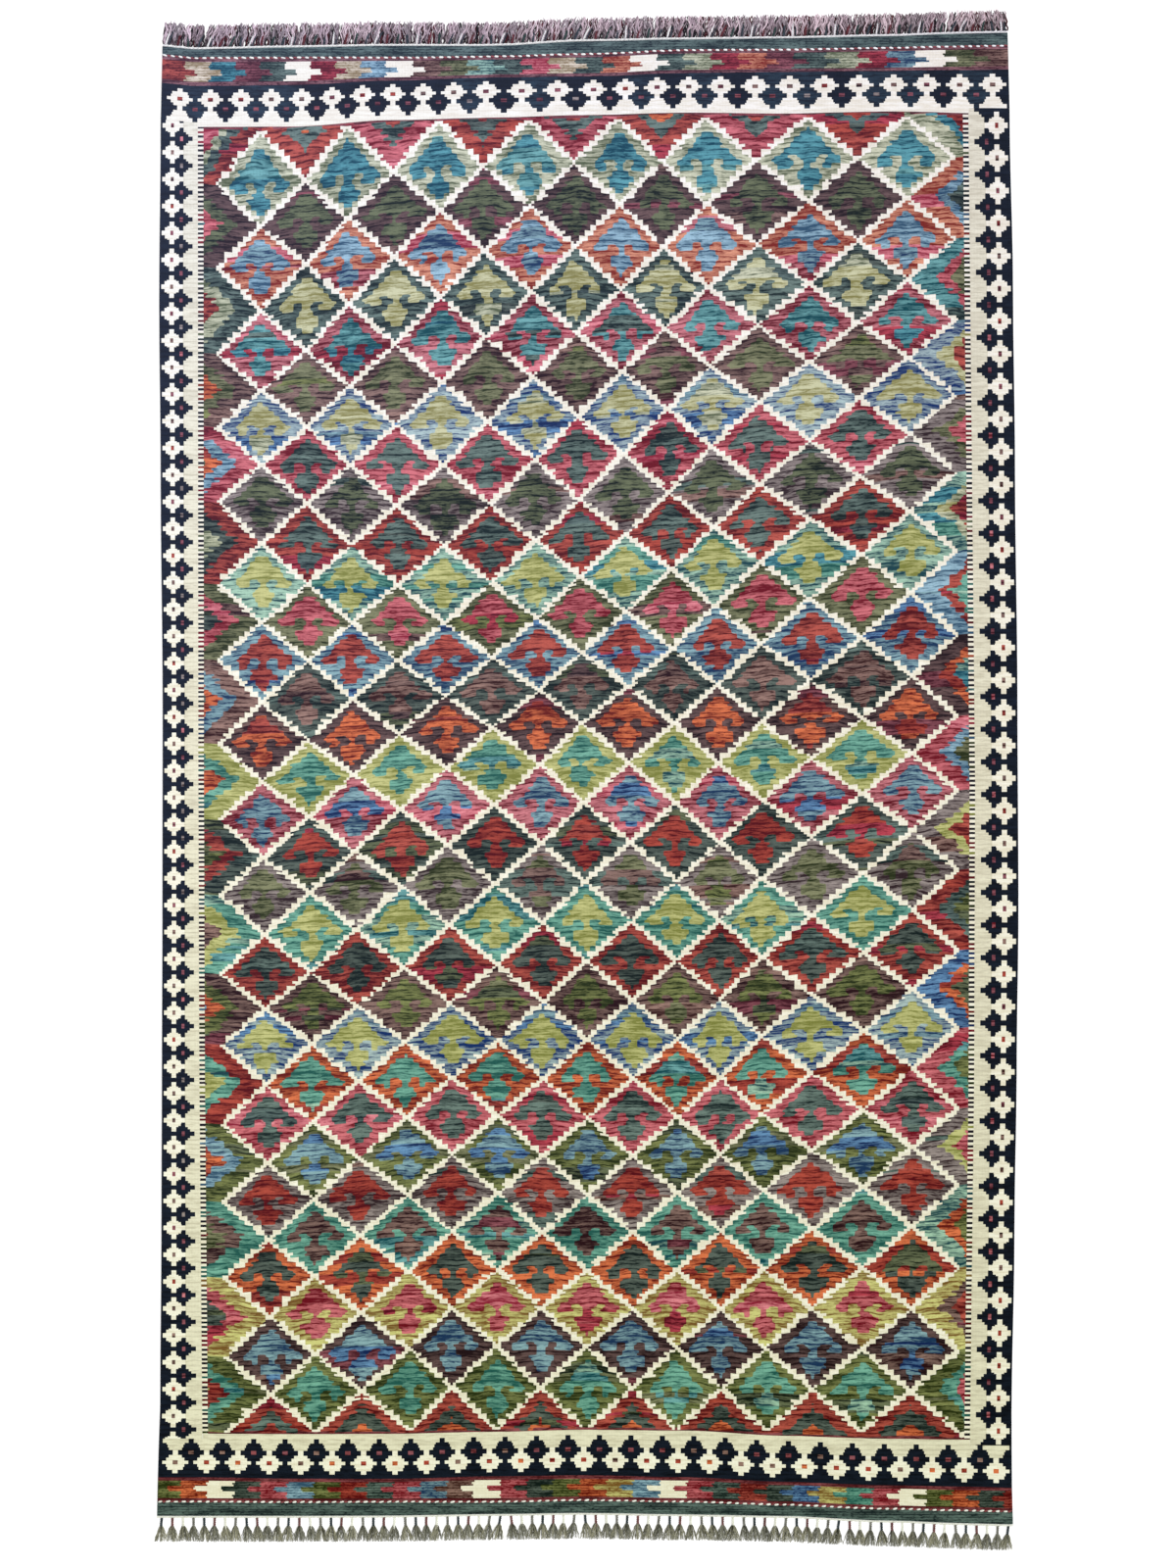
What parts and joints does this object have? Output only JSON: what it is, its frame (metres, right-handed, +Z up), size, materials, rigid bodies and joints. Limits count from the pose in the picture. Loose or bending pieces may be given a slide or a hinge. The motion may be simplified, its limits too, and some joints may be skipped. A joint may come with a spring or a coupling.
{
  "type": "kilim rug",
  "caption": "Flat-woven wool kilim rug with a stepped diamond lattice, reciprocal flower borders, banded ends and a knotted fringe at both ends, lying flat.",
  "frame": {"origin": "Under the middle of the whole rug, fringes included, on the surface that it lies on.", "axes": "+X runs across the rug to the right selvedge, +Y along the rug to its upper end, and +Z up out of the face that shows."},
  "size_m": [1.74, 3.1093, 0.006],
  "materials": {
    "wool": "matt handspun wool weft in many plain-dyed colours, tapestry-woven",
    "warp_yarn": "matt plied warp yarn in mixed natural, slate and dusty rose shades, knotted into tassels"
  },
  "bodies": {
    "root": {"kilim_cloth": "wool", "fringe_top": "warp_yarn", "fringe_bottom": "warp_yarn"}
  },
  "joints": []
}
